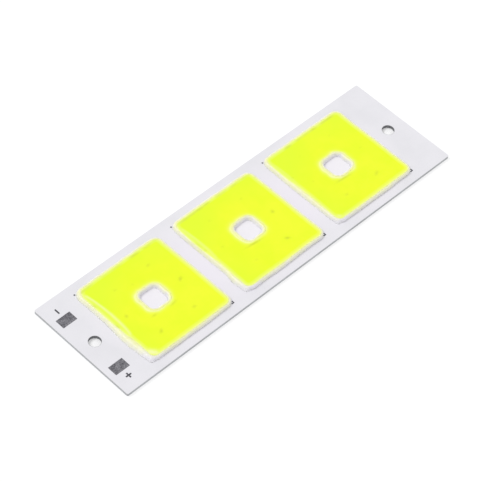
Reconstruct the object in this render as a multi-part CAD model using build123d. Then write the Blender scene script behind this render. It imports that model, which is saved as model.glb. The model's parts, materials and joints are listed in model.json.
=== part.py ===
from build123d import *
import os

os.makedirs("parts", exist_ok=True)

# Millimetres. X runs along the board with the solder pads at -X, Y runs across it with the
# negative side at +Y, and Z is up. The origin is the middle of the board's underside.

# Board: an aluminium sheet with an insulating film, copper foil and a white solder mask on top.
# The margins are the bare board between its edges and the feet of the outer dams.
pad_end_margin = 10.55
far_end_margin = 11.35
side_margin = 2.65
board_corner_radius = 0.4
base_thickness = 0.8
dielectric_thickness = 0.1
copper_thickness = 0.07
mask_over_copper = 0.03

# Screw holes, one near each end on the centre line
hole_diameter = 3.5
pad_end_hole_inset = 4.95
far_end_hole_inset = 5.75

# Light cells, a row of squares with bare board between them
cell_count = 3
cell_gap = 4.5

# A bead's crown is rounded by at most this share of the bead's width on each side
crown_limit = 0.47

# Outer dam of a cell: a bead of white silicone that holds the phosphor in
dam_size = 29.7
dam_width = 1.5
dam_height = 0.95
dam_corner_radius = 2.5
dam_crown_radius = 0.65

# Centre dam of a cell: a second bead round the bare square in the middle
void_size = 5.8
void_corner_radius = 1.0
centre_dam_width = 1.6
centre_dam_height = 1.1
centre_dam_crown_radius = 0.65

# Phosphor silicone, filled just over the crown of the outer dam
fill_overrun = 0.05

# LED chips: on each side of the void a string of three, one at the middle and one at each end.
# Their centres stand off from the inner walls of the outer dam.
chip_size = 1.1
chip_height = 0.15
end_chip_side_offset = 7.65
end_chip_end_offset = 4.55
middle_chip_offset = 4.05

# Bond wires: one over each end of a chip, down to bare copper in a window of the mask
bond_reach = 1.6
bond_inset = 0.2
bond_window = 0.8
wire_diameter = 0.05
wire_rise = 0.3
wire_bend_radius = 0.15

# Copper foil: a bus along each long side and the links between the chips of a string
bus_edge_margin = 0.9
land_margin = 0.4

# Solder pads at the -X end, with a tin coat that stands a little over the mask. The side inset
# runs from the board's long edge to the pad.
pad_length = 4.7
pad_width = 3.1
pad_end_inset = 1.8
pad_side_inset = 6.15
tin_over_mask = 0.02

# Printed marks: polarity signs outboard of the pads and a dot at two corners of each cell
ink_thickness = 0.02
sign_offset = 2.0
sign_length = 1.75
sign_stroke = 0.45
dot_size = 0.4
dot_gap = 0.4

# Heights of the layers
dielectric_bottom = base_thickness
copper_bottom = dielectric_bottom + dielectric_thickness
copper_top = copper_bottom + copper_thickness
mask_top = copper_top + mask_over_copper
fill_top = mask_top + dam_height + fill_overrun
chip_top = mask_top + chip_height

# Places along and across the board
cell_pitch = dam_size + cell_gap
row_length = cell_count * dam_size + (cell_count - 1) * cell_gap
board_length = pad_end_margin + row_length + far_end_margin
board_width = dam_size + 2 * side_margin
pad_hole_x = -board_length / 2 + pad_end_hole_inset
far_hole_x = board_length / 2 - far_end_hole_inset
first_cell_x = -board_length / 2 + pad_end_margin + dam_size / 2
cell_xs = [first_cell_x + i * cell_pitch for i in range(cell_count)]
pad_x = -board_length / 2 + pad_end_inset + pad_length / 2
pad_y = board_width / 2 - pad_side_inset - pad_width / 2
sign_y = pad_y + pad_width / 2 + sign_offset

# Places inside a cell, from its centre
dam_inner_half = dam_size / 2 - dam_width
end_chip_x = dam_inner_half - end_chip_side_offset
end_chip_y = dam_inner_half - end_chip_end_offset
middle_chip_x = dam_inner_half - middle_chip_offset
void_corner_outer = void_corner_radius + centre_dam_width
centre_dam_size = void_size + 2 * centre_dam_width

land_width = bond_window + 2 * land_margin

# Signs of the two directions along Y, and of the two sides of a cell along X
BACK = 1
FRONT = -1
SIDES = (-1, 1)


def plate(sketch, bottom, thickness):
    """A flat layer of one outline, standing on the height bottom."""
    return Pos(0, 0, bottom) * extrude(sketch, thickness)


def rectangle_between(x0, x1, y0, y1):
    return Pos((x0 + x1) / 2, (y0 + y1) / 2) * Rectangle(abs(x1 - x0), abs(y1 - y0))


def group(solids):
    """Several separate solids of one node."""
    return Compound(children=list(solids))


def board_outline():
    """The board seen from above, with its two screw holes."""
    outline = RectangleRounded(board_length, board_width, board_corner_radius)
    for x in (pad_hole_x, far_hole_x):
        outline -= Pos(x, 0) * Circle(hole_diameter / 2)
    return outline


def square_bead(size, width, height, corner_radius, crown_radius):
    """A square ring of silicone with a rounded crown, centred on the origin."""
    inner = size - 2 * width
    inner_radius = corner_radius - width
    outline = RectangleRounded(size, size, corner_radius)
    outline -= RectangleRounded(inner, inner, inner_radius)
    ring = extrude(outline, height)
    crown_edges = ring.edges().group_by(Axis.Z)[-1]
    return fillet(crown_edges, min(crown_radius, crown_limit * width))


def string_chips(side):
    """Centres of one string's three chips in the cell's own frame, from front to back."""
    return [
        (side * end_chip_x, -end_chip_y),
        (side * middle_chip_x, 0.0),
        (side * end_chip_x, end_chip_y),
    ]


def all_chips():
    return [spot for side in SIDES for spot in string_chips(side)]


def bond_window_spots():
    """Centres of the mask windows, one off each end of every chip."""
    return [(x, y + end * bond_reach) for x, y in all_chips() for end in (FRONT, BACK)]


def link_outline(start, end):
    """A copper trace that runs from one bond land to another at its full width."""
    lands = [Pos(*spot) * Rectangle(land_width, land_width) for spot in (start, end)]
    return make_hull(lands[0].edges() + lands[1].edges())


def cell_links():
    """The two copper links of each string, in the cell's own frame."""
    links = []
    for side in SIDES:
        chips = string_chips(side)
        for first, second in zip(chips, chips[1:]):
            start = (first[0], first[1] + bond_reach)
            end = (second[0], second[1] - bond_reach)
            links.append(plate(link_outline(start, end), copper_bottom, copper_thickness))
    return links


def bus_bar(side):
    """The copper along one long side, with a lobe under that side's solder pad."""
    inner_y = side * (end_chip_y + bond_reach - land_width / 2)
    outer_y = side * (board_width / 2 - bus_edge_margin)
    start_x = pad_x - pad_length / 2 - land_margin
    end_x = cell_xs[-1] + end_chip_x + land_width / 2
    lobe_end_x = pad_x + pad_length / 2 + land_margin
    lobe_y = side * (pad_y - pad_width / 2 - land_margin)
    outline = rectangle_between(start_x, end_x, inner_y, outer_y)
    outline += rectangle_between(start_x, lobe_end_x, lobe_y, outer_y)
    return plate(outline, copper_bottom, copper_thickness)


def solder_pad(side):
    """Tin on the bare copper, filling its opening in the mask."""
    outline = Pos(pad_x, side * pad_y) * Rectangle(pad_length, pad_width)
    return plate(outline, copper_top, mask_over_copper + tin_over_mask)


def solder_mask(copper, pads):
    """The white coat over the copper, open at the pads and at the bond windows."""
    mask = plate(board_outline(), copper_bottom, mask_top - copper_bottom)
    window = plate(Rectangle(bond_window, bond_window), copper_bottom, mask_top - copper_bottom)
    for cell_x in cell_xs:
        mask -= [Pos(cell_x + x, y, 0) * window for x, y in bond_window_spots()]
    return mask - copper - pads


def minus_sign():
    outline = Pos(pad_x, sign_y) * Rectangle(sign_stroke, sign_length)
    return plate(outline, mask_top, ink_thickness)


def plus_sign():
    arms = Rectangle(sign_stroke, sign_length) + Rectangle(sign_length, sign_stroke)
    return plate(Pos(pad_x, -sign_y) * arms, mask_top, ink_thickness)


def corner_dots():
    """Ink dots just outside the rounded corners of each outer dam."""
    corner = dam_size / 2 - dam_corner_radius + (dam_corner_radius + dot_gap) / 2**0.5
    dot = plate(Rectangle(dot_size, dot_size), mask_top, ink_thickness)
    return [
        Pos(cell_x - turn * corner, turn * corner, 0) * dot
        for cell_x in cell_xs
        for turn in (BACK, FRONT)
    ]


def outer_dam():
    return square_bead(dam_size, dam_width, dam_height, dam_corner_radius, dam_crown_radius)


def centre_dam():
    return square_bead(
        centre_dam_size,
        centre_dam_width,
        centre_dam_height,
        void_corner_outer,
        centre_dam_crown_radius,
    )


def led_chips():
    """The six chips of a cell, standing on the mask."""
    chip = Pos(0, 0, mask_top) * extrude(Rectangle(chip_size, chip_size), chip_height)
    return [Pos(x, y, 0) * chip for x, y in all_chips()]


def bond_wire(x, y, end):
    """A thin wire from the copper, up over the chip's edge and down onto its top."""
    land_y = y + end * bond_reach
    chip_y = y + end * (chip_size / 2 - bond_inset)
    loop_z = chip_top + wire_rise
    path = FilletPolyline(
        (x, land_y, copper_top),
        (x, land_y, loop_z),
        (x, chip_y, loop_z),
        (x, chip_y, chip_top),
        radius=wire_bend_radius,
    )
    return sweep(Pos(x, land_y, copper_top) * Circle(wire_diameter / 2), path=path)


def bond_wires():
    return [bond_wire(x, y, end) for x, y in all_chips() for end in (FRONT, BACK)]


def phosphor_body():
    """The block of yellow silicone between the two crests, before its neighbours are cut out."""
    crest = dam_size - dam_width
    centre_crest = void_size + centre_dam_width
    outline = RectangleRounded(crest, crest, dam_corner_radius - dam_width / 2)
    outline -= RectangleRounded(
        centre_crest, centre_crest, void_corner_radius + centre_dam_width / 2
    )
    return plate(outline, copper_top, fill_top - copper_top)


def write_node(shape, name):
    shape.label = name
    export_step(shape, f"parts/{name}.step")


base = plate(board_outline(), 0, base_thickness)
dielectric = plate(board_outline(), dielectric_bottom, dielectric_thickness)
negative_bus = bus_bar(BACK)
positive_bus = bus_bar(FRONT)
links = [[Pos(cell_x, 0, 0) * link for link in cell_links()] for cell_x in cell_xs]
negative_pad = solder_pad(BACK)
positive_pad = solder_pad(FRONT)
all_copper = [negative_bus, positive_bus] + [link for cell in links for link in cell]
mask = solder_mask(all_copper, [negative_pad, positive_pad])

write_node(base, "aluminium_base")
write_node(dielectric, "dielectric_layer")
write_node(negative_bus, "negative_bus")
write_node(positive_bus, "positive_bus")
write_node(mask, "solder_mask")
write_node(negative_pad, "negative_pad")
write_node(positive_pad, "positive_pad")
write_node(minus_sign(), "minus_mark")
write_node(plus_sign(), "plus_mark")
write_node(group(corner_dots()), "corner_dots")

for number, cell_x in enumerate(cell_xs, start=1):
    place = Pos(cell_x, 0, 0)
    outer = place * Pos(0, 0, mask_top) * outer_dam()
    centre = place * Pos(0, 0, mask_top) * centre_dam()
    chips = [place * chip for chip in led_chips()]
    wires = [place * wire for wire in bond_wires()]
    fill = place * phosphor_body() - mask - outer - centre - chips - wires
    write_node(group(links[number - 1]), f"cell_links_{number}")
    write_node(outer, f"outer_dam_{number}")
    write_node(centre, f"centre_dam_{number}")
    write_node(group(chips), f"led_chips_{number}")
    write_node(group(wires), f"bond_wires_{number}")
    write_node(fill, f"phosphor_fill_{number}")
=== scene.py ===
import json
import math

import bpy
from mathutils import Matrix, Quaternion, Vector, noise


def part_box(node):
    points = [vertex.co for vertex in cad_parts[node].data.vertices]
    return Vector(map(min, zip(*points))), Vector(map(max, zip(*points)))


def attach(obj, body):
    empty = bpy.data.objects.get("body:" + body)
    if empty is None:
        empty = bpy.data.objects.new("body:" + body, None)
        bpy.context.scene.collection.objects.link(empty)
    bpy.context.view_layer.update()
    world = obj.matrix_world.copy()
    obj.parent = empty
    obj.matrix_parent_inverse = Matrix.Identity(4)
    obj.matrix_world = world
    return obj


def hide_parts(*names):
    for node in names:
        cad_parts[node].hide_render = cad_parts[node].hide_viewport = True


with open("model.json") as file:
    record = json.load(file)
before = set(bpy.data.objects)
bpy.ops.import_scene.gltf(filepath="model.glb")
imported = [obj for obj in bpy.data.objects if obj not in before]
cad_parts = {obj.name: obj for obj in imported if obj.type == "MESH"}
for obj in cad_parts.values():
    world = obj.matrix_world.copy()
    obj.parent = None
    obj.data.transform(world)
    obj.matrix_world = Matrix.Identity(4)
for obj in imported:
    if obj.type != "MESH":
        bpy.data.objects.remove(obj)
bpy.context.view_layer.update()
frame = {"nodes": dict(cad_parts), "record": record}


# The core of the board is a sheet of rolled aluminium, sheared to size and drilled for two
# screws. Its bare back has the grain of the mill's rollers, and its cut edges are grey and dull.
# The walls of the screw holes are painted dark as shade.

MM = 0.001
screw_holes = next(m for m in frame["record"]["mounts"] if m["name"] == "screw_holes")
HOLE_MIDDLE = screw_holes["pos_m"][0]
HOLE_APART = screw_holes["dims"]["spacing_x_mm"] * MM
HOLE_RADIUS = screw_holes["dims"]["hole_r_mm"] * MM
HOLE_SPOTS = (HOLE_MIDDLE - HOLE_APART / 2, HOLE_MIDDLE + HOLE_APART / 2)
HOLE_WALL = (HOLE_RADIUS + 0.03 * MM, 0.09 * MM)


def colour(red, green_and_shade, blue):
    """A colour written as it shows on a screen, from 0 to 255, for a shader's socket."""
    def linear(value):
        value /= 255
        return value / 12.92 if value <= 0.04045 else ((value + 0.055) / 1.055) ** 2.4
    return (linear(red), linear(green_and_shade), linear(blue), 1.0)


def build_mottle():
    """Cloudy patches of one size in millimetres, stretched along any axis, as a mask."""
    group = bpy.data.node_groups.new("Mottle", "ShaderNodeTree")
    for name, kind, value in (
        ("Patch Size", "NodeSocketFloat", 1.0),
        ("Stretch", "NodeSocketVector", (1.0, 1.0, 1.0)),
        ("Detail", "NodeSocketFloat", 3.0),
        ("Low", "NodeSocketFloat", 0.3),
        ("High", "NodeSocketFloat", 0.7),
    ):
        group.interface.new_socket(name, in_out="INPUT", socket_type=kind).default_value = value
    group.interface.new_socket("Mask", in_out="OUTPUT", socket_type="NodeSocketFloat")
    nodes, links = group.nodes, group.links
    inputs = nodes.new("NodeGroupInput")
    outputs = nodes.new("NodeGroupOutput")
    place = nodes.new("ShaderNodeTexCoord")
    shrink = nodes.new("ShaderNodeVectorMath")
    shrink.operation = "DIVIDE"
    links.new(place.outputs["Object"], shrink.inputs[0])
    links.new(inputs.outputs["Stretch"], shrink.inputs[1])
    fineness = nodes.new("ShaderNodeMath")
    fineness.operation = "DIVIDE"
    fineness.inputs[0].default_value = 1 / MM
    links.new(inputs.outputs["Patch Size"], fineness.inputs[1])
    cloud = nodes.new("ShaderNodeTexNoise")
    links.new(shrink.outputs["Vector"], cloud.inputs["Vector"])
    links.new(fineness.outputs["Value"], cloud.inputs["Scale"])
    links.new(inputs.outputs["Detail"], cloud.inputs["Detail"])
    contrast = nodes.new("ShaderNodeMapRange")
    links.new(cloud.outputs["Fac"], contrast.inputs["Value"])
    links.new(inputs.outputs["Low"], contrast.inputs["From Min"])
    links.new(inputs.outputs["High"], contrast.inputs["From Max"])
    links.new(contrast.outputs["Result"], outputs.inputs["Mask"])
    return group


mottle = build_mottle()


class Finish:
    """One material and the few moves that all of this board's finishes are made with."""

    def __init__(self, name, roughness, metallic=0.0, specular=0.5):
        self.material = bpy.data.materials.new(name)
        self.material.use_nodes = True
        self.nodes = self.material.node_tree.nodes
        self.links = self.material.node_tree.links
        self.shader = self.nodes["Principled BSDF"]
        self.shader.inputs["Roughness"].default_value = roughness
        self.shader.inputs["Metallic"].default_value = metallic
        self.shader.inputs["Specular IOR Level"].default_value = specular

    def patches(self, size, stretch=(1, 1, 1), detail=3.0, low=0.3, high=0.7):
        node = self.nodes.new("ShaderNodeGroup")
        node.node_tree = mottle
        node.inputs["Patch Size"].default_value = size
        node.inputs["Stretch"].default_value = stretch
        node.inputs["Detail"].default_value = detail
        node.inputs["Low"].default_value = low
        node.inputs["High"].default_value = high
        return node.outputs["Mask"]

    def attribute(self, name):
        node = self.nodes.new("ShaderNodeAttribute")
        node.attribute_name = name
        return node.outputs["Fac"]

    def round_spot(self, centre, radius, fade):
        """A mask that is 1 within a radius of an upright axis and fades out beyond it."""
        place = self.nodes.new("ShaderNodeTexCoord")
        offset = self.nodes.new("ShaderNodeVectorMath")
        offset.operation = "SUBTRACT"
        offset.inputs[1].default_value = centre
        self.links.new(place.outputs["Object"], offset.inputs[0])
        flat = self.nodes.new("ShaderNodeVectorMath")
        flat.operation = "MULTIPLY"
        flat.inputs[1].default_value = (1, 1, 0)
        self.links.new(offset.outputs["Vector"], flat.inputs[0])
        far = self.nodes.new("ShaderNodeVectorMath")
        far.operation = "LENGTH"
        self.links.new(flat.outputs["Vector"], far.inputs[0])
        mask = self.nodes.new("ShaderNodeMapRange")
        mask.inputs["From Min"].default_value = radius + fade
        mask.inputs["From Max"].default_value = radius
        self.links.new(far.outputs["Value"], mask.inputs["Value"])
        return mask.outputs["Result"]

    def mix(self, mask, first, second):
        """Two colours, or a link and a colour, mixed by a mask."""
        node = self.nodes.new("ShaderNodeMix")
        node.data_type = "RGBA"
        self.links.new(mask, node.inputs[0])
        for socket, value in ((node.inputs[6], first), (node.inputs[7], second)):
            if isinstance(value, bpy.types.NodeSocket):
                self.links.new(value, socket)
            else:
                socket.default_value = value
        return node.outputs[2]

    def scale(self, mask, low, high):
        node = self.nodes.new("ShaderNodeMapRange")
        self.links.new(mask, node.inputs["Value"])
        node.inputs["To Min"].default_value = low
        node.inputs["To Max"].default_value = high
        return node.outputs["Result"]

    def paint(self, source):
        self.links.new(source, self.shader.inputs["Base Color"])

    def roughen(self, mask, low, high):
        self.links.new(self.scale(mask, low, high), self.shader.inputs["Roughness"])

    def emboss(self, mask, depth):
        """Relief from a mask, as deep as the given number of millimetres."""
        bump = self.nodes.new("ShaderNodeBump")
        bump.inputs["Distance"].default_value = depth * MM
        self.links.new(mask, bump.inputs["Height"])
        self.links.new(bump.outputs["Normal"], self.shader.inputs["Normal"])

    def dress(self, *names):
        for name in names:
            mesh = frame["nodes"][name].data
            mesh.materials.clear()
            mesh.materials.append(self.material)


sheet = Finish("sheared_aluminium", roughness=0.45, metallic=0.75)
rolled = sheet.patches(0.35, stretch=(24, 1, 1.4), detail=4.0)
stains = sheet.patches(9.0, detail=5.0, low=0.42, high=0.68)
skin = sheet.mix(stains, sheet.mix(rolled, colour(166, 168, 172), colour(196, 198, 201)),
                 colour(172, 173, 175))
scored = sheet.patches(0.12, stretch=(6, 6, 1), detail=2.0)
# The walls of the screw holes are painted darker as shade.
for hole_x in HOLE_SPOTS:
    bore_shade = sheet.round_spot((hole_x, 0, 0), *HOLE_WALL)
    skin = sheet.mix(bore_shade, skin, sheet.mix(scored, colour(104, 105, 109), colour(138, 139, 142)))
sheet.paint(skin)
sheet.roughen(rolled, 0.34, 0.55)
sheet.emboss(rolled, 0.006)
sheet.dress("aluminium_base")


# A thin film of filled epoxy glues the copper to the aluminium and insulates it. Only its edge
# shows, as a pale line round the board; in the screw holes its edge is painted dark as shade.

epoxy = Finish("epoxy_film", roughness=0.6)
epoxy_cloud = epoxy.patches(0.8)
film = epoxy.mix(epoxy_cloud, colour(196, 197, 194), colour(212, 212, 208))
# The film's edge in the screw holes is painted dark as shade.
for hole_x in HOLE_SPOTS:
    bore_shade = epoxy.round_spot((hole_x, 0, 0), *HOLE_WALL)
    film = epoxy.mix(bore_shade, film, colour(116, 115, 117))
epoxy.paint(film)
epoxy.roughen(epoxy_cloud, 0.5, 0.7)
epoxy.dress("dielectric_layer")


# The circuit is etched copper foil: a bus along each long side and short links between the
# chips of a string. It lies under the mask and is bare only where a wire is bonded.

CELLS = (1, 2, 3)

copper = Finish("etched_copper", roughness=0.4, metallic=1.0)
etch = copper.patches(0.25, detail=4.0)
copper.paint(copper.mix(etch, colour(196, 128, 96), colour(222, 158, 124)))
copper.roughen(etch, 0.3, 0.5)
copper.emboss(etch, 0.004)
copper.dress("negative_bus", "positive_bus", *[f"cell_links_{cell}" for cell in CELLS])


# The white solder mask is a baked ink over the whole board. It throws the light back, so it is
# a bright cool white with a satin skin and a very slight orange peel. In the middle of each
# cell the dams kept it clean, and round the cells it has a haze of silicone. Its cut wall in
# the screw holes is painted dark as shade.

CELL_BOXES = [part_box(f"outer_dam_{cell}") for cell in CELLS]
CELL_SPOTS = [(low[0] + high[0]) / 2 for low, high in CELL_BOXES]
GAP_SPOTS = [(first + second) / 2 for first, second in zip(CELL_SPOTS, CELL_SPOTS[1:])]

# Each spot's radius and how far it fades out beyond it.
CELL_HAZE = (16 * MM, 3 * MM)
GAP_HAZE = (6 * MM, 11 * MM)
CLEAN_MIDDLE = (3.0 * MM, 0.6 * MM)
HOLE_RIM_SHADE = (HOLE_RADIUS + 0.01 * MM, 0.05 * MM)

mask_ink = Finish("white_mask", roughness=0.42, specular=0.4)
clouds = mask_ink.patches(7.0, detail=4.0)
peel = mask_ink.patches(0.55, detail=2.0, low=0.25, high=0.75)
mask_skin = mask_ink.mix(clouds, colour(227, 226, 231), colour(232, 231, 236))
for cell_x in CELL_SPOTS:
    haze = mask_ink.round_spot((cell_x, 0, 0), *CELL_HAZE)
    mask_skin = mask_ink.mix(haze, mask_skin, colour(233, 231, 237))
for gap_x in GAP_SPOTS:
    haze = mask_ink.round_spot((gap_x, 0, 0), *GAP_HAZE)
    mask_skin = mask_ink.mix(haze, mask_skin, colour(236, 232, 241))
for cell_x in CELL_SPOTS:
    clean = mask_ink.round_spot((cell_x, 0, 0), *CLEAN_MIDDLE)
    mask_skin = mask_ink.mix(clean, mask_skin, colour(240, 237, 243))
# The mask's cut wall in the screw holes is painted dark as shade.
for hole_x in HOLE_SPOTS:
    rim_shade = mask_ink.round_spot((hole_x, 0, 0), *HOLE_RIM_SHADE)
    mask_skin = mask_ink.mix(rim_shade, mask_skin, colour(126, 125, 128))
mask_ink.paint(mask_skin)
mask_ink.roughen(peel, 0.36, 0.48)
mask_ink.emboss(peel, 0.003)
mask_ink.dress("solder_mask")


# Each supply pad is copper with a coat of tin that was levelled with hot air. The coat is dull,
# a little domed, and pitted all over. Its dark greys are a painted reflection of dark
# surroundings in the tin.

PAD_STEPS = (72, 48)
PAD_DOME = 0.010 * MM
PAD_PITS = 0.024 * MM
PAD_PIT_SIZE = 0.22 * MM
PAD_FINER_PITS = PAD_PIT_SIZE / 2.3
PAD_SHOULDER = 0.22 * MM
PAD_SINK = 0.008 * MM
PAD_RIM_SINK = 0.018 * MM
PAD_RAGGED_EDGE = 0.05 * MM
PAD_RAGGED_SIZE = 0.4 * MM


def finished_piece(name, points, faces, finish, material_slot, smooth=True):
    """A mesh object at the origin with its finish, riding on the board."""
    mesh = bpy.data.meshes.new(name)
    mesh.from_pydata(points, [], faces)
    mesh.polygons.foreach_set("use_smooth", [smooth] * len(mesh.polygons))
    mesh.materials.append(finish.material)
    piece = bpy.data.objects.new(name, mesh)
    bpy.context.scene.collection.objects.link(piece)
    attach(piece, "root")
    return piece


def tin_pad(node, seed):
    """A pad's coat as a closed skin: a pitted top, a rolled-over rim and a flat foot."""
    low, high = (Vector(corner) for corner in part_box(node))
    size = high - low
    columns, rows = PAD_STEPS
    points, faces = [], []
    for j in range(rows + 1):
        for i in range(columns + 1):
            x = low.x + size.x * i / columns
            y = low.y + size.y * j / rows
            rim = min(x - low.x, high.x - x, y - low.y, high.y - y)
            ragged = noise.noise(Vector((x, y, seed * MM)) / PAD_RAGGED_SIZE) * PAD_RAGGED_EDGE
            if rim <= 0:
                inward = ((low + high).xy / 2 - Vector((x, y))).normalized()
                x += inward.x * abs(ragged)
                y += inward.y * abs(ragged)
            pits = noise.noise(Vector((x, y, seed * MM)) / PAD_PIT_SIZE)
            pits += 0.5 * noise.noise(Vector((x, y, seed * MM)) / PAD_FINER_PITS)
            roll = min(1.0, rim / PAD_SHOULDER)
            rise = math.sqrt(max(0.0, 1 - (1 - roll) ** 2))
            z = high.z - PAD_SINK + (PAD_DOME + PAD_PITS * pits) * rise
            points.append((x, y, z if rim > 0 else high.z - PAD_RIM_SINK))
    across = columns + 1
    for j in range(rows):
        for i in range(columns):
            k = j * across + i
            faces.append((k, k + 1, k + 1 + across, k + across))
    border = list(range(across))
    border += [j * across + columns for j in range(1, rows + 1)]
    border += [rows * across + i for i in range(columns - 1, -1, -1)]
    border += [j * across for j in range(rows - 1, 0, -1)]
    foot = [len(points) + n for n in range(len(border))]
    points += [(points[k][0], points[k][1], low.z) for k in border]
    for n in range(len(border)):
        m = (n + 1) % len(border)
        faces.append((border[n], foot[n], foot[m], border[m]))
    faces.append(tuple(reversed(foot)))
    return points, faces


tin = Finish("levelled_tin", roughness=0.5, metallic=0.55, specular=0.4)
grit = tin.patches(0.34, detail=6.0, low=0.36, high=0.64)
smears = tin.patches(1.3, stretch=(1.6, 1, 1), detail=2.0, low=0.4, high=0.6)
# The dark greys are a painted reflection of dark surroundings in the tin.
tin.paint(tin.mix(smears, tin.mix(grit, colour(70, 69, 75), colour(126, 125, 131)),
                  tin.mix(grit, colour(92, 91, 98), colour(152, 151, 156))))
tin.roughen(grit, 0.38, 0.62)
tin.emboss(grit, 0.01)
for pad_seed, side in enumerate(("negative", "positive"), start=3):
    pad = finished_piece(f"{side}_tin", *tin_pad(f"{side}_pad", pad_seed), tin, "tin_coat")
    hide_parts(f"{side}_pad")


# A minus sign, a plus sign and a dot and a corner tick at each cell are screen printed in dark
# ink, which is thin and a little broken where the screen left the mask bare.

# The places are measured from the middle of the cell.
TICK_CORNER = 14.68 * MM
TICK_ARM = 0.85 * MM
TICK_WIDTH = 0.32 * MM
DOT_PLACE = 14.40 * MM
DOT_HALF = 0.21 * MM


def corner_prints():
    """Points and faces of the flat dots and ticks beside the cells, each a closed plate."""
    low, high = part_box("corner_dots")
    near, far = TICK_CORNER - TICK_ARM, TICK_CORNER - TICK_WIDTH
    tick = ((near, -TICK_CORNER), (TICK_CORNER, -TICK_CORNER), (TICK_CORNER, -near),
            (far, -near), (far, -far), (near, -far))
    left, right = -DOT_PLACE - DOT_HALF, -DOT_PLACE + DOT_HALF
    dot = ((left, -right), (right, -right), (right, -left), (left, -left))
    points, faces = [], []
    for cell_x in CELL_SPOTS:
        for outline in (tick, dot):
            first, count = len(points), len(outline)
            points += [(cell_x + x, y, low[2]) for x, y in outline]
            points += [(cell_x + x, y, high[2]) for x, y in outline]
            faces.append(tuple(range(first + count - 1, first - 1, -1)))
            faces.append(tuple(range(first + count, first + 2 * count)))
            for n in range(count):
                m = (n + 1) % count
                faces.append((first + n, first + m, first + count + m, first + count + n))
    return points, faces


ink = Finish("printed_ink", roughness=0.55, specular=0.3)
broken = ink.patches(0.16, detail=3.0, low=0.5, high=0.72)
ink.paint(ink.mix(broken, colour(66, 66, 72), colour(128, 127, 133)))
ink.roughen(broken, 0.5, 0.7)
ink.dress("minus_mark", "plus_mark")
prints = finished_piece("corner_prints", *corner_prints(), ink, "dark_ink", smooth=False)
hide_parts("corner_dots")


# Six chips in each cell stand on the mask, joined by fine gold wires. They are buried in the
# yellow silicone, where each one leaves only a faint dimple.

crystal = Finish("chip_crystal", roughness=0.15)
mesa = crystal.patches(0.3)
crystal.paint(crystal.mix(mesa, colour(176, 190, 214), colour(206, 214, 230)))
crystal.roughen(mesa, 0.1, 0.22)
crystal.dress(*[f"led_chips_{cell}" for cell in CELLS])

gold = Finish("gold_wire", roughness=0.2, metallic=1.0)
drawn = gold.patches(0.05, stretch=(1, 4, 1))
gold.paint(gold.mix(drawn, colour(230, 190, 92), colour(248, 214, 128)))
gold.roughen(drawn, 0.15, 0.3)
gold.dress(*[f"bond_wires_{cell}" for cell in CELLS])


# Each cell has two dams of white silicone, squeezed from a needle that was led round a square:
# a large one round the cell and a small one round the bare middle. The bead wanders a little,
# its foot spreads where the needle slowed down, and the phosphor stained it on its wet side.

SIDE_STEPS = 72
CORNER_STEPS = 18
BEAD_STEPS = 30
BEAD_FULLNESS = 3.3
FOOT_SINK = 0.02 * MM
FOOT_TOE = 1.5
LUMPS = 0.10 * MM
LUMP_LENGTH = 5 * MM
DRIP_LENGTH = 1.1 * MM
DRIFT_LENGTH = 6 * MM
SHORT_DRIFT_LENGTH = 2 * MM
NOISE_STEP = 40 * MM
SEED_STEP = 0.07

# How far the flanks slump: outwards on the side towards the pads, for each cell, and inwards.
SLUMPS_OUT = {1: 1.6, 2: 3.2, 3: 3.2}
SLUMPS_IN = {"outer_dam": 0.0, "centre_dam": 0.45}

DAM_WIDTH = 1.5 * MM
DAM_CORNER = 2.5 * MM
DAM_WANDER = 0.13 * MM
CENTRE_DAM_WIDTH = 1.6 * MM
CENTRE_DAM_CORNER = 3.0 * MM
CENTRE_DAM_WANDER = 0.16 * MM

# The stain of each kind: its wet side, 1 for the outer flank and -1 for the inner one, how far
# it reaches across the bead, its strength, and how much less it is at the start corner.
STAINS = {"outer_dam": (-1, 1.33, 1.08, 0.7), "centre_dam": (1, 0.9, 1.25, 0.0)}
STAIN_RAGGED = 0.3
STAIN_LENGTH = 1.4 * MM

# Where a bead strays: the cell, the side as a direction, the middle and half length of the
# stretch along that side, how far its foot goes out and how far its line moves in, in
# millimetres.
STRAYS = (
    (1, (-1, 0), -5.5, 8.5, 0.62, 0.0),
    (1, (-1, 0), 11.0, 3.0, 0.12, 0.0),
    (1, (-1, 0), 0.0, 30.0, 0.0, 0.62),
    (1, (-1, 0), -11.5, 7.0, 0.0, 0.30),
    (1, (-1, 0), 14.0, 2.6, 0.0, 0.3),
    (1, (0, -1), 6.0, 7.0, 0.12, 0.0),
    (2, (-1, 0), -10.5, 4.5, 0.5, 0.0),
    (2, (-1, 0), 0.0, 30.0, 0.22, 0.14),
    (2, (0, -1), -3.0, 6.0, 0.10, 0.0),
    (3, (-1, 0), 1.0, 9.0, 0.14, 0.0),
    (3, (-1, 0), 0.0, 30.0, 0.22, 0.12),
    (3, (0, -1), 4.0, 6.0, 0.14, 0.0),
)

# How far the foot of each centre dam goes out on its four sides, in millimetres.
CENTRE_SPREADS = (((-1, 0), 0.26), ((1, 0), -0.16), ((0, -1), -0.20), ((0, 1), -0.28))

# The needle starts and stops at the corner in front on the side of the pads, which pulls the
# foot there to a point: the bearing of each pull in degrees from the side of the pads, its
# reach and how far it goes out in millimetres. The stain is less round the corner itself.
CORNER_PULLS = ((37, 24, 0.40), (67, 22, -0.12))
START_CORNER = (45, 17)


def hump(value, middle, reach):
    """A smooth hump, 1 in the middle and 0 at its reach on either side."""
    part = abs(value - middle) / reach
    return math.cos(part * math.pi / 2) ** 2 if part < 1 else 0.0


def bearing_of(out):
    """The bearing of a direction in degrees, from the side of the pads towards the front."""
    return math.degrees(math.atan2(-out.y, -out.x))


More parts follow.
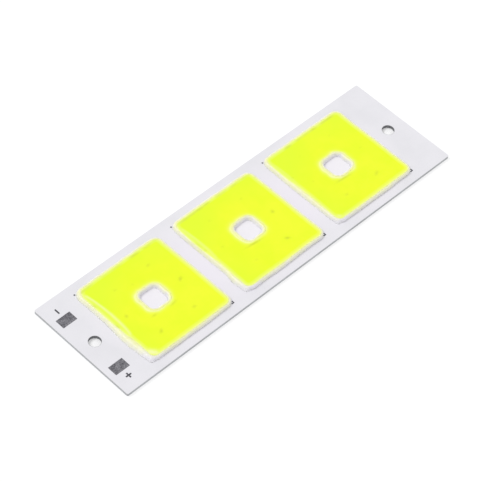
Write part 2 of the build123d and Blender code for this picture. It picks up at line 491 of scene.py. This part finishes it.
def square_path(half, radius):
    """Points and outward directions round a rounded square, anticlockwise from its -Y side."""
    straight = half - radius
    path = []
    for quarter in range(4):
        turn = Matrix.Rotation(quarter * math.pi / 2, 2)
        for i in range(SIDE_STEPS):
            x = -straight + 2 * straight * i / SIDE_STEPS
            path.append((turn @ Vector((x, -half)), turn @ Vector((0, -1))))
        for i in range(CORNER_STEPS):
            angle = math.pi / 2 * (i / CORNER_STEPS - 1)
            out = Vector((math.cos(angle), math.sin(angle)))
            path.append((turn @ (Vector((straight, -straight)) + radius * out), turn @ out))
    return path


def hand_led_path(cell, kind, width, corner, wander):
    """The middle line of a bead as laid: its points, outward directions and foot spreads."""
    low, high = (Vector(edge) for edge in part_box(f"{kind}_{cell}"))
    centre = (low + high) / 2
    half = (high.x - low.x - width) / 2
    path = []
    for point, out in square_path(half, corner - width / 2):
        noise_spot = Vector((point.x, point.y, cell * NOISE_STEP))
        drift = noise.noise(noise_spot / DRIFT_LENGTH)
        drift += 0.4 * noise.noise(noise_spot / SHORT_DRIFT_LENGTH)
        spread = 0.0
        moved = point + out * drift * wander
        for stray_cell, side, middle, reach, foot_out, line_in in STRAYS:
            if stray_cell == cell and kind == "outer_dam":
                side = Vector(side)
                along = point.x if side.x == 0 else point.y
                share = MM * hump(along, middle * MM, reach * MM)
                spread += share * (foot_out + line_in) * max(0.0, out.dot(side))
                moved -= side * share * line_in * hump(point.dot(side), half, 0.45 * half)
        if kind == "centre_dam":
            for side, foot_out in CENTRE_SPREADS:
                spread += MM * foot_out * max(0.0, out.dot(Vector(side)))
        else:
            for bearing, reach, pull in CORNER_PULLS:
                spread += MM * pull * hump(bearing_of(out), bearing, reach)
        path.append((moved + centre.xy, out, spread))
    return path


def build_bead_tree():
    """A closed line of points with an outward direction becomes a bead with a flat foot."""
    tree = bpy.data.node_groups.new("Squeezed bead", "GeometryNodeTree")
    for name, kind in (
        ("Geometry", "NodeSocketGeometry"),
        ("Half Width", "NodeSocketFloat"),
        ("Height", "NodeSocketFloat"),
        ("Fullness", "NodeSocketFloat"),
        ("Lumps", "NodeSocketFloat"),
        ("Slump Out", "NodeSocketFloat"),
        ("Slump In", "NodeSocketFloat"),
        ("Seed", "NodeSocketFloat"),
        ("Material", "NodeSocketMaterial"),
    ):
        tree.interface.new_socket(name, in_out="INPUT", socket_type=kind)
    tree.interface.new_socket("Geometry", in_out="OUTPUT", socket_type="NodeSocketGeometry")
    links = tree.links

    def node(kind, **settings):
        made = tree.nodes.new(kind)
        for key, value in settings.items():
            setattr(made, key, value)
        return made

    def maths(operation, first, second):
        made = node("ShaderNodeMath", operation=operation)
        for socket, value in zip(made.inputs, (first, second)):
            if isinstance(value, bpy.types.NodeSocket):
                links.new(value, socket)
            else:
                socket.default_value = value
        return made.outputs[0]

    given = node("NodeGroupInput").outputs
    ring = node("GeometryNodeMeshToCurve")
    links.new(given["Geometry"], ring.inputs["Mesh"])
    level = node("GeometryNodeSetCurveNormal", mode="Z_UP")
    links.new(ring.outputs["Curve"], level.inputs["Curve"])

    circle = node("GeometryNodeCurvePrimitiveCircle")
    circle.inputs["Resolution"].default_value = BEAD_STEPS
    circle.inputs["Radius"].default_value = 1.0
    spot = node("ShaderNodeSeparateXYZ")
    links.new(node("GeometryNodeInputPosition").outputs[0], spot.inputs[0])
    power = maths("DIVIDE", 2.0, given["Fullness"])
    side = maths("MULTIPLY", maths("SIGN", spot.outputs["X"], 0.0),
                 maths("POWER", maths("ABSOLUTE", spot.outputs["X"], 0.0), power))
    rise = maths("POWER", maths("MAXIMUM", spot.outputs["Y"], 0.0), power)
    keep_side = node("GeometryNodeStoreNamedAttribute", data_type="FLOAT", domain="POINT")
    keep_side.inputs["Name"].default_value = "side"
    links.new(circle.outputs["Curve"], keep_side.inputs["Geometry"])
    links.new(side, keep_side.inputs["Value"])
    keep_rise = node("GeometryNodeStoreNamedAttribute", data_type="FLOAT", domain="POINT")
    keep_rise.inputs["Name"].default_value = "rise"
    links.new(keep_side.outputs["Geometry"], keep_rise.inputs["Geometry"])
    links.new(rise, keep_rise.inputs["Value"])

    bead = node("GeometryNodeCurveToMesh")
    links.new(level.outputs["Curve"], bead.inputs["Curve"])
    links.new(keep_rise.outputs["Geometry"], bead.inputs["Profile Curve"])

    def stored(name, kind="FLOAT"):
        made = node("GeometryNodeInputNamedAttribute", data_type=kind)
        made.inputs["Name"].default_value = name
        return made.outputs["Attribute"]

    def vector_maths(operation, first, second, socket_name="Vector"):
        made = node("ShaderNodeVectorMath", operation=operation)
        links.new(first, made.inputs[0])
        target = made.inputs["Scale"] if operation == "SCALE" else made.inputs[1]
        links.new(second, target)
        return made.outputs[socket_name]

    def plain_vector(vector):
        made = node("ShaderNodeCombineXYZ")
        for socket, value in zip(made.inputs, vector):
            socket.default_value = value
        return made.outputs[0]

    line = stored("line", "FLOAT_VECTOR")
    reach = maths("ADD", given["Half Width"],
                  maths("MULTIPLY", stored("spread"), maths("GREATER_THAN", stored("side"), 0.0)))
    sideways = vector_maths("SCALE", stored("outward", "FLOAT_VECTOR"),
                            maths("MULTIPLY", reach, stored("side")))
    shift = node("ShaderNodeCombineXYZ")
    links.new(given["Seed"], shift.inputs["Z"])
    lumps = node("ShaderNodeTexNoise")
    lumps.inputs["Scale"].default_value = 1 / LUMP_LENGTH
    lumps.inputs["Detail"].default_value = 1.0
    links.new(vector_maths("ADD", line, shift.outputs[0]), lumps.inputs["Vector"])
    swell = maths("MULTIPLY", maths("SUBTRACT", lumps.outputs["Fac"], 0.5), given["Lumps"])
    towards_pads = vector_maths("DOT_PRODUCT", stored("outward", "FLOAT_VECTOR"),
                                plain_vector((-1.0, 0.0, 0.0)), "Value")
    slump_out = maths("MULTIPLY", maths("POWER", maths("MAXIMUM", towards_pads, 0.0), 3.0),
                      given["Slump Out"])
    outer_half = maths("GREATER_THAN", stored("side"), 0.0)
    drips = node("ShaderNodeTexNoise")
    drips.inputs["Scale"].default_value = 1 / DRIP_LENGTH
    drips.inputs["Detail"].default_value = 1.0
    links.new(vector_maths("ADD", line, shift.outputs[0]), drips.inputs["Vector"])
    away_from_pads = maths("MAXIMUM", maths("MULTIPLY", towards_pads, -3.0), 0.0)
    slump_in = maths("MULTIPLY", given["Slump In"],
                     maths("ADD", away_from_pads, maths("MULTIPLY", drips.outputs["Fac"], 2.0)))
    slump = maths("ADD", maths("MULTIPLY", slump_out, outer_half),
                  maths("MULTIPLY", slump_in, maths("SUBTRACT", 1.0, outer_half)))
    toe = maths("POWER", stored("rise"), maths("ADD", FOOT_TOE, maths("MULTIPLY", slump, 3.0)))
    tall = maths("MULTIPLY", maths("ADD", given["Height"], swell), toe)
    up = node("ShaderNodeCombineXYZ")
    links.new(maths("SUBTRACT", tall, FOOT_SINK), up.inputs["Z"])
    place = vector_maths("ADD", vector_maths("ADD", line, sideways), up.outputs[0])
    shape = node("GeometryNodeSetPosition")
    links.new(bead.outputs["Mesh"], shape.inputs["Geometry"])
    links.new(place, shape.inputs["Position"])

    real = node("GeometryNodeRealizeInstances")
    links.new(shape.outputs["Geometry"], real.inputs["Geometry"])
    coat = node("GeometryNodeSetMaterial")
    links.new(real.outputs["Geometry"], coat.inputs["Geometry"])
    links.new(given["Material"], coat.inputs["Material"])
    links.new(coat.outputs["Geometry"], node("NodeGroupOutput").inputs["Geometry"])
    return tree


def squeezed_bead(name, path, floor, sizes, material):
    """Runs the bead tree on a path and returns the result as a plain mesh object."""
    line = bpy.data.meshes.new(name + "_line")
    spots = [(point.x, point.y, floor) for point, out, spread in path]
    count = len(spots)
    line.from_pydata(spots, [(i, (i + 1) % count) for i in range(count)], [])
    kept_line = line.attributes.new("line", "FLOAT_VECTOR", "POINT")
    kept_line.data.foreach_set("vector", [value for spot in spots for value in spot])
    outward = line.attributes.new("outward", "FLOAT_VECTOR", "POINT")
    outward.data.foreach_set("vector", [v for _, out, _ in path for v in (out.x, out.y, 0.0)])
    spreads = line.attributes.new("spread", "FLOAT", "POINT")
    spreads.data.foreach_set("value", [spread for _, _, spread in path])
    maker = bpy.data.objects.new(name + "_maker", line)
    bpy.context.scene.collection.objects.link(maker)
    modifier = maker.modifiers.new("bead", "NODES")
    modifier.node_group = bead_tree
    for socket in bead_tree.interface.items_tree:
        if socket.in_out == "INPUT" and socket.name in sizes:
            modifier[socket.identifier] = sizes[socket.name]
        if socket.in_out == "INPUT" and socket.name == "Material":
            modifier[socket.identifier] = material
    depsgraph = bpy.context.evaluated_depsgraph_get()
    mesh = bpy.data.meshes.new_from_object(maker.evaluated_get(depsgraph))
    bpy.data.objects.remove(maker)
    mesh.name = name
    mesh.polygons.foreach_set("use_smooth", [True] * len(mesh.polygons))
    bead = bpy.data.objects.new(name, mesh)
    bpy.context.scene.collection.objects.link(bead)
    return bead


silicone = Finish("white_silicone", roughness=0.36, specular=0.45)
milky = silicone.patches(2.2, detail=3.0)
sheen = silicone.patches(0.5, detail=2.0)
white = silicone.mix(milky, colour(232, 230, 236), colour(237, 235, 240))
silicone.paint(silicone.mix(silicone.attribute("stain"), white, colour(246, 249, 118)))
silicone.roughen(sheen, 0.3, 0.44)
silicone.emboss(sheen, 0.008)
silicone.shader.inputs["Subsurface Weight"].default_value = 0.6
silicone.shader.inputs["Subsurface Radius"].default_value = (1.0, 1.0, 1.0)
silicone.shader.inputs["Subsurface Scale"].default_value = 0.4 * MM


def stain_bead(bead, wet_side, reach, strength, clean_corner):
    """Where phosphor crept up the bead from its wet side, 1 or -1, and stained its flank."""
    mesh = bead.data
    middle = sum((vertex.co for vertex in mesh.vertices), Vector()) / len(mesh.vertices)
    stain = mesh.attributes.new("stain", "FLOAT", "POINT")
    for vertex, side, mark in zip(mesh.vertices, mesh.attributes["side"].data, stain.data):
        ragged = STAIN_RAGGED * noise.noise(vertex.co / STAIN_LENGTH)
        cleaner = clean_corner * hump(bearing_of(vertex.co - middle), *START_CORNER)
        climb = side.value * wet_side + reach + ragged - cleaner
        mark.value = max(0.0, min(1.0, strength * climb / (1 + reach)))


bead_tree = build_bead_tree()
outer_paths, centre_paths = {}, {}
for cell in CELLS:
    for kind, width, corner, wander, paths in (
        ("outer_dam", DAM_WIDTH, DAM_CORNER, DAM_WANDER, outer_paths),
        ("centre_dam", CENTRE_DAM_WIDTH, CENTRE_DAM_CORNER, CENTRE_DAM_WANDER, centre_paths),
    ):
        node = f"{kind}_{cell}"
        low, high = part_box(node)
        paths[cell] = hand_led_path(cell, kind, width, corner, wander)
        sizes = {
            "Half Width": width / 2,
            "Height": high[2] - low[2] + FOOT_SINK,
            "Fullness": BEAD_FULLNESS,
            "Lumps": LUMPS,
            "Slump Out": SLUMPS_OUT[cell],
            "Slump In": SLUMPS_IN[kind],
            "Seed": cell * SEED_STEP,
        }
        bead = squeezed_bead(f"{kind}_bead_{cell}", paths[cell], low[2], sizes, silicone.material)
        stain_bead(bead, *STAINS[kind])
        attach(bead, "root")
        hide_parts(node)


# The cells are filled with silicone that is full of yellow phosphor powder. It is level, with
# faint dimples over the chips, pale where it is thin, and it creeps over the crown of the dam,
# most of all on the side towards the pads, where it left a low ridge behind its edge. A painted
# highlight lies along that ridge, and painted shade greens the hollow behind it and darkens the
# hollows along the dams and a line along the back dam.

FILM = 0.045 * MM
FILM_EDGE = 0.22 * MM
FILM_DIP = 0.09 * MM
FILM_DIP_WIDTH = 0.12 * MM
EDGE_SOFTNESS = 0.06 * MM
RIDGE_WIDTH = 0.46 * MM
RIDGE_HEIGHT = 0.06 * MM
# The hollow behind the ridge: its width, and how strongly painted shade greens it.
HOLLOW_WIDTH = 0.6 * MM
HOLLOW_SHADE = 0.9

# The run-over of each cell, on its side towards the pads: the middle and half length of its
# stretch, how far it goes out, how far in its ridge bows, and its strength from 0 to 1.
RUN_OVERS = {
    1: (3.4, 8.9, 0.45, 1.35, 1.0),
    2: (5.0, 7.2, 0.36, 1.0, 0.6),
    3: (7.0, 5.5, 0.22, 0.8, 0.4),
}
FRONT_RUN = 0.14 * MM
LIP_WAVE = 0.05 * MM
LIP_WAVE_LENGTH = 1.6 * MM

# How pale the thin filling is, how strong the painted highlight along the ridge is, how far from
# the edge and from the centre dam the paleness fades, and how unevenly it creeps up the centre
# dam.
PALEST = 0.95
RIDGE_HIGHLIGHT = 0.62
EDGE_FADE = 0.5 * MM
NECK_FADE = 0.34 * MM
NECK_CREST = 0.5 * MM
NECK_CREEP = 0.22 * MM
NECK_CREEP_LENGTH = 1.5 * MM
NECK_LIFT = 0.05 * MM
NECK_LIFT_WIDTH = 0.3 * MM

RIM_ROWS = (0.0, 0.02, 0.05, 0.09, 0.14, 0.2, 0.3, 0.42, 0.56, 0.72, 0.88, 1.04, 1.2)
BED_ROWS = 34
NECK_ROWS = (1.3, 1.1, 0.95, 0.85, 0.75, 0.68, 0.6, 0.54, 0.48, 0.42, 0.34, 0.2, 0.0)
RIM_DEPTH = 1.2 * MM
NECK_REACH = 1.3 * MM
FAR_FROM_RIM = -5 * MM
WAVE = 0.018 * MM
WAVE_LENGTH = 5 * MM
SHORT_WAVE_LENGTH = 1.3 * MM
DIMPLE_DEPTH = 0.06 * MM
DIMPLE_RAGGED_SIZE = 0.4 * MM

# Where the filling turns greener towards its corners, and the olive line of painted shadow that
# the back dam casts along the back of the cell: its place, its half width, the size of its
# patches and its strength.
CORNER_FAR = 28 * MM
CORNER_START = 0.45
BACK_LINE = 13.35 * MM
BACK_LINE_REACH = 0.7 * MM
BACK_LINE_PATCH = 2.4 * MM
BACK_LINE_DARK = 0.7

# Where the filling stands on the mask, from the lines of the outer and the centre dam.
OUTER_FOOT = 0.4 * DAM_WIDTH
CENTRE_FOOT = 0.3 * MM

# The dark marks: the cell, where it lies from the middle of the cell, its half length and half
# width, its turn in degrees and its strength. Six of each cell are darker dimples over the chips;
# the others are hollows along the dams, darkened with painted shadow.
MARKS = (
    (1, 5.9, 8.5, 0.60, 0.42, 20, 0.55), (1, 9.1, -0.3, 0.75, 0.45, 35, 0.95),
    (1, 5.5, -9.2, 0.62, 0.45, 0, 0.60), (1, -6.1, 8.1, 0.55, 0.40, 0, 0.40),
    (1, -9.6, 0.0, 0.60, 0.45, 60, 0.75), (1, -6.2, -9.3, 0.70, 0.45, 40, 0.85),
    (1, -4.1, -4.5, 0.85, 0.35, -5, 0.70), (1, 2.3, -4.9, 1.30, 0.32, 10, 0.60),
    (1, 9.3, 13.3, 1.0, 0.30, -20, 0.55), (1, -13.5, 7.8, 0.25, 0.8, 0, 0.55),
    (1, -13.5, -0.9, 0.25, 0.9, 0, 0.60), (1, -1.5, 6.5, 0.4, 0.4, 0, 0.25),
    (2, 5.8, 8.6, 0.50, 0.40, 0, 0.30), (2, 9.0, -0.1, 0.60, 0.50, 60, 0.85),
    (2, 5.5, -9.1, 0.75, 0.42, -35, 1.0), (2, -5.9, 8.7, 0.50, 0.40, 0, 0.25),
    (2, -9.4, 0.1, 0.55, 0.40, 0, 0.25), (2, -5.8, -8.9, 0.50, 0.40, 0, 0.30),
    (2, -2.4, -4.6, 2.3, 0.30, -6, 0.95), (2, -2.6, 13.4, 1.5, 0.32, 0, 0.70),
    (2, -13.8, 4.4, 0.25, 1.6, 0, 0.45), (2, -13.7, 2.2, 0.3, 0.5, 0, 0.5),
    (3, 5.9, 8.8, 0.50, 0.40, 0, 0.20), (3, 9.2, 0.1, 0.50, 0.40, 0, 0.20),
    (3, 5.8, -9.2, 0.95, 0.45, 25, 0.65), (3, -5.7, 8.8, 0.50, 0.40, 0, 0.15),
    (3, -9.3, 0.1, 0.50, 0.40, 0, 0.20), (3, -5.9, -9.1, 0.60, 0.45, 0, 0.45),
    (3, -2.3, -4.6, 2.5, 0.34, -5, 0.75), (3, -12.6, 4.7, 0.35, 0.3, 0, 0.40),
)

# The smears where the filling is thin and pale, written in the same way.
PALE_SMEARS = (
    (1, -12.55, -12.55, 2.5, 0.85, -52, 1.0),
    (3, -12.9, -13.0, 1.2, 0.5, -45, 0.6),
)


def bead_height(offset, half_width, height):
    """How high the bead stands at an offset from its middle line."""
    part = min(1.0, abs(offset) / half_width)
    return height * (1 - part ** BEAD_FULLNESS) ** (1 / BEAD_FULLNESS)


def softer_of(first, second, softness):
    """The smaller of two heights, with a rounded change from one to the other."""
    gap = max(softness - abs(first - second), 0.0) / softness
    return min(first, second) - gap * gap * softness / 4


def phosphor_bed(cell):
    """Points, faces and surface masks of one cell's filling, as a closed skin."""
    low, high = (Vector(corner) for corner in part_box(f"phosphor_fill_{cell}"))
    dam_low, dam_high = (Vector(corner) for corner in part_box(f"outer_dam_{cell}"))
    centre = (low + high) / 2
    floor = dam_low.z
    dam_height = dam_high.z - floor
    outer, inner = outer_paths[cell], centre_paths[cell]
    points, thin_and_highlight, dark_and_shadow, green_and_shade = [], [], [], []
    marks, smears = [
        [(Vector((x, y)) * MM, math.cos(math.radians(turn)), math.sin(math.radians(turn)),
          half_length * MM, half_width * MM, strength)
         for marked_cell, x, y, half_length, half_width, turn, strength in table
         if marked_cell == cell]
        for table in (MARKS, PALE_SMEARS)
    ]

    def depth_at(place, mark):
        """How strong a mark is at a place of the surface."""
        middle, cosine, sine, half_length, half_width, strength = mark
        away = place - centre.xy - middle
        if away.length > 2.5 * max(half_length, half_width):
            return 0.0
        along = (away.x * cosine + away.y * sine) / half_length
        across = (away.y * cosine - away.x * sine) / half_width
        ragged = 1 + 0.5 * noise.noise(Vector((place.x, place.y, 0.9)) / DIMPLE_RAGGED_SIZE)
        return strength * math.exp(-(along * along + across * across) * ragged)

    def add(place, rim, neck, run):
        """One point of the surface: rim and neck are its offsets from the two beads' lines."""
        local = place - centre.xy
        waves = noise.noise(Vector((place.x, place.y, 0.2)) / WAVE_LENGTH)
        waves += 0.35 * noise.noise(Vector((place.x, place.y, 0.4)) / SHORT_WAVE_LENGTH)
        z = high.z + WAVE * waves
        lip, inset, share, foot_out = run
        ridge = math.exp(-((rim + inset) / RIDGE_WIDTH) ** 2) * share
        z += RIDGE_HEIGHT * ridge
        behind = min(1.0, max(0.0, (rim + inset) / HOLLOW_WIDTH)) * share
        z -= 0.5 * RIDGE_HEIGHT * behind * (1 - ridge)
        # A painted highlight along the ridge.
        paleness_and_highlight = RIDGE_HIGHLIGHT * ridge
        if neck < 2 * NECK_REACH:
            z += NECK_LIFT * math.exp(-max(0.0, neck - NECK_CREST) / NECK_LIFT_WIDTH)
            uneven = noise.noise(Vector((place.x, place.y, 1.7)) / NECK_CREEP_LENGTH)
            away = max(0.0, neck + NECK_CREEP * uneven - NECK_CREST)
            paleness_and_highlight = max(paleness_and_highlight, PALEST * math.exp(-away / NECK_FADE))
        if rim > -RIM_DEPTH:
            edge = lip - rim
            film = FILM * min(1.0, edge / FILM_EDGE)
            film -= FILM_DIP * max(0.0, 1 - edge / FILM_DIP_WIDTH)
            bead = floor + bead_height(max(rim, 0.0), DAM_WIDTH / 2 + foot_out, dam_height) + film
            z = softer_of(z, bead, EDGE_SOFTNESS)
            paleness_and_highlight = max(paleness_and_highlight, PALEST * math.exp(-max(0.0, edge) / EDGE_FADE))
        dark = 0.0
        # Darker over the chips, and painted shadow in the hollows along the dams.
        for mark in marks:
            well = depth_at(place, mark)
            z -= DIMPLE_DEPTH * well if rim < -RIM_DEPTH else 0.0
            dark = max(dark, well)
        for smear in smears:
            paleness_and_highlight = max(paleness_and_highlight, depth_at(place, smear))
        corner = (abs(local.x) + abs(local.y) + 0.5 * (local.y - local.x)) / CORNER_FAR
        corner = max(0.0, corner - CORNER_START) / (1 - CORNER_START)
        # Painted shade greens the hollow between the ridge and the edge.
        corner = max(corner, HOLLOW_SHADE * behind)
        # Painted shadow of the back dam: an olive line along the back of the cell.
        shaded = hump(local.y, BACK_LINE, BACK_LINE_REACH)
        if shaded > 0:
            patchy = 0.5 + noise.noise(Vector((place.x, place.y, 2.1)) / BACK_LINE_PATCH)
            dark = max(dark, BACK_LINE_DARK * shaded * max(0.0, patchy))
        points.append((place.x, place.y, z))
        thin_and_highlight.append(max(0.0, min(1.0, paleness_and_highlight)))
        dark_and_shadow.append(max(0.0, min(1.0, dark)))
        green_and_shade.append(max(0.0, min(1.0, corner)))

    columns = len(outer)
    for (line, out, spread), (neck_line, neck_out, neck_spread) in zip(outer, inner):
        middle, reach, run_out, bow, strength = RUN_OVERS[cell]
        part = (line.y - centre.y - middle * MM) / (reach * MM)
        share = max(0.0, 1 - part * part) ** 0.4 if out.x < -0.7 else 0.0
        lip = share * run_out * MM + FRONT_RUN * max(0.0, -out.y)
        lip += LIP_WAVE * noise.noise(Vector((line.x, line.y, 1.3)) / LIP_WAVE_LENGTH)
        run = (lip, bow * share * MM, strength * min(1.0, 2 * share), spread)
        for row in RIM_ROWS:
            rim = lip - row / RIM_ROWS[-1] * (lip + RIM_DEPTH)
            add(line + out * rim, rim, 2 * NECK_REACH, run)
        shore = line - out * RIM_DEPTH
        landing = neck_line + neck_out * NECK_REACH
        for step in range(1, BED_ROWS):
            place = shore.lerp(landing, (step / BED_ROWS) ** 1.3)
            add(place, -RIM_DEPTH - (place - shore).length,
                NECK_REACH + (place - landing).length - neck_spread, run)
        for row in NECK_ROWS:
            add(neck_line + neck_out * row * MM, FAR_FROM_RIM, row * MM - neck_spread, run)
    rows = len(RIM_ROWS) + BED_ROWS - 1 + len(NECK_ROWS)
    faces = []
    for i in range(columns):
        j = (i + 1) % columns
        for row in range(rows - 1):
            faces.append((i * rows + row, j * rows + row, j * rows + row + 1, i * rows + row + 1))
    foot = len(points)
    for (line, out, _), (neck_line, neck_out, _) in zip(outer, inner):
        for place in (line - out * OUTER_FOOT, neck_line + neck_out * CENTRE_FOOT):
            points.append((place.x, place.y, low.z))
            thin_and_highlight.append(0.0)
            dark_and_shadow.append(0.0)
            green_and_shade.append(0.0)
    for i in range(columns):
        j = (i + 1) % columns
        outer_i, outer_j = foot + 2 * i, foot + 2 * j
        faces.append((i * rows, outer_i, outer_j, j * rows))
        faces.append((outer_i, outer_i + 1, outer_j + 1, outer_j))
        faces.append((i * rows + rows - 1, j * rows + rows - 1, outer_j + 1, outer_i + 1))
    return points, faces, {"thin_and_highlight": thin_and_highlight, "dark_and_shadow": dark_and_shadow, "green_and_shade": green_and_shade}


phosphor = Finish("phosphor_silicone", roughness=0.42, specular=0.35)
powder = phosphor.patches(0.30, detail=4.0)
drift = phosphor.patches(6.0, detail=3.0, low=0.35, high=0.65)
body_colour = phosphor.mix(drift, colour(235, 253, 22), colour(243, 254, 34))
body_colour = phosphor.mix(phosphor.scale(powder, 0.0, 0.30), body_colour, colour(230, 246, 26))
# Greener towards the corners, and painted shade in the hollow behind the ridge.
body_colour = phosphor.mix(phosphor.scale(phosphor.attribute("green_and_shade"), 0.0, 0.8), body_colour,
                           colour(226, 253, 38))
# Paler where the filling is thin, and a painted highlight along the ridge.
body_colour = phosphor.mix(phosphor.scale(phosphor.attribute("thin_and_highlight"), 0.0, 0.9), body_colour,
                           colour(249, 252, 180))
# Darker over the chips, and painted shadow in the hollows along the dams and along the back dam.
body_colour = phosphor.mix(phosphor.scale(phosphor.attribute("dark_and_shadow"), 0.0, 0.8), body_colour,
                           colour(204, 216, 36))
phosphor.paint(body_colour)
phosphor.roughen(powder, 0.36, 0.5)
phosphor.emboss(powder, 0.008)

for cell in CELLS:
    points, faces, masks = phosphor_bed(cell)
    bed = finished_piece(f"phosphor_bed_{cell}", points, faces, phosphor, "phosphor_silicone")
    for name, values in masks.items():
        layer = bed.data.attributes.new(name, "FLOAT", "POINT")
        layer.data.foreach_set("value", values)
    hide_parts(f"phosphor_fill_{cell}")


# The board lies on a white table in a bright room. A soft lamp stands behind it on the side of
# the pads, so the edges that face the camera are in light shade.

FLOOR_SIZE = 4.0
FLOOR_DROP = 0.02 * MM
FLOOR_LIFT = 0.64
HOLE_LIFT = 0.16
LAMP_FROM = Vector((-0.45, 0.75, 1.10))
LAMP_SHARE = 0.24
LAMP_SOFTNESS = math.radians(24)
ROOM_SHARE = 0.79


def straight_sight(tree):
    """1 for a ray that the camera sees, straight or in a mirror or through glass, and else 0."""
    rays = tree.nodes.new("ShaderNodeLightPath")
    seen = rays.outputs["Is Camera Ray"]
    for kind in ("Is Glossy Ray", "Is Transmission Ray"):
        either = tree.nodes.new("ShaderNodeMath")
        either.operation = "MAXIMUM"
        tree.links.new(seen, either.inputs[0])
        tree.links.new(rays.outputs[kind], either.inputs[1])
        seen = either.outputs[0]
    return seen


floor_mesh = bpy.data.meshes.new("table_top")
reach = FLOOR_SIZE / 2
floor_mesh.from_pydata(
    [(-reach, -reach, 0), (reach, -reach, 0), (reach, reach, 0), (-reach, reach, 0)],
    [], [(0, 1, 2, 3)],
)
table_top = bpy.data.objects.new("table_top", floor_mesh)
table_top.location.z = -FLOOR_DROP
bpy.context.scene.collection.objects.link(table_top)

paper = Finish("white_table", roughness=0.9, specular=0.0)
fibres = paper.patches(30.0)
bright = paper.mix(fibres, colour(243, 243, 244), colour(245, 245, 246))
seen = straight_sight(paper.material.node_tree)
in_hole = paper.nodes.new("ShaderNodeMath")
in_hole.operation = "MAXIMUM"
for hole_x, socket in zip(HOLE_SPOTS, in_hole.inputs):
    paper.links.new(paper.round_spot((hole_x, 0, 0), HOLE_RADIUS, 0.1 * MM), socket)
open_table = paper.mix(in_hole.outputs[0], colour(170, 170, 171), bright)
paper.paint(paper.mix(seen, bright, open_table))
lift = paper.nodes.new("ShaderNodeMath")
lift.operation = "MULTIPLY"
paper.links.new(seen, lift.inputs[0])
paper.links.new(paper.scale(in_hole.outputs[0], FLOOR_LIFT, HOLE_LIFT), lift.inputs[1])
paper.shader.inputs["Emission Color"].default_value = (1, 1, 1, 1)
paper.links.new(lift.outputs[0], paper.shader.inputs["Emission Strength"])
floor_mesh.materials.append(paper.material)

world = bpy.data.worlds.new("bright_room")
bpy.context.scene.world = world
world.use_nodes = True
sky = world.node_tree.nodes["Background"]
sky.inputs["Color"].default_value = (1, 1, 1, 1)
strength = world.node_tree.nodes.new("ShaderNodeMapRange")
strength.inputs["To Min"].default_value = ROOM_SHARE
strength.inputs["To Max"].default_value = 1.0
world.node_tree.links.new(straight_sight(world.node_tree), strength.inputs["Value"])
world.node_tree.links.new(strength.outputs["Result"], sky.inputs["Strength"])

lamp_data = bpy.data.lights.new("soft_lamp", "SUN")
lamp_data.angle = LAMP_SOFTNESS
lamp_data.energy = math.pi * LAMP_SHARE * LAMP_FROM.length / LAMP_FROM.z
lamp = bpy.data.objects.new("soft_lamp", lamp_data)
lamp.rotation_euler = LAMP_FROM.to_track_quat("Z", "Y").to_euler()
bpy.context.scene.collection.objects.link(lamp)


# The camera looks down on the board from its front corner at the pads, through a long lens,
# and is rolled a little.

CAMERA_AIM = Vector((-4.243, -1.202, 1.0)) * MM
CAMERA_DISTANCE = 585.2 * MM
CAMERA_AZIMUTH = math.radians(49.60)
CAMERA_ELEVATION = math.radians(50.36)
CAMERA_ROLL = math.radians(6.30)
CAMERA_LENS = 166.2
CAMERA_SENSOR = 36.0

camera_data = bpy.data.cameras.new("camera")
camera_data.sensor_width = CAMERA_SENSOR
camera_data.lens = CAMERA_LENS
camera_data.clip_start = 0.01
camera = bpy.data.objects.new("camera", camera_data)
sight_line = Vector((
    math.cos(CAMERA_ELEVATION) * math.sin(CAMERA_AZIMUTH),
    math.cos(CAMERA_ELEVATION) * math.cos(CAMERA_AZIMUTH),
    -math.sin(CAMERA_ELEVATION),
))
camera.location = CAMERA_AIM - sight_line * CAMERA_DISTANCE
camera.rotation_mode = "QUATERNION"
camera.rotation_quaternion = (
    sight_line.to_track_quat("-Z", "Y") @ Quaternion((0, 0, 1), CAMERA_ROLL)
)
bpy.context.scene.collection.objects.link(camera)
bpy.context.scene.camera = camera
bpy.context.scene.view_settings.view_transform = "Standard"
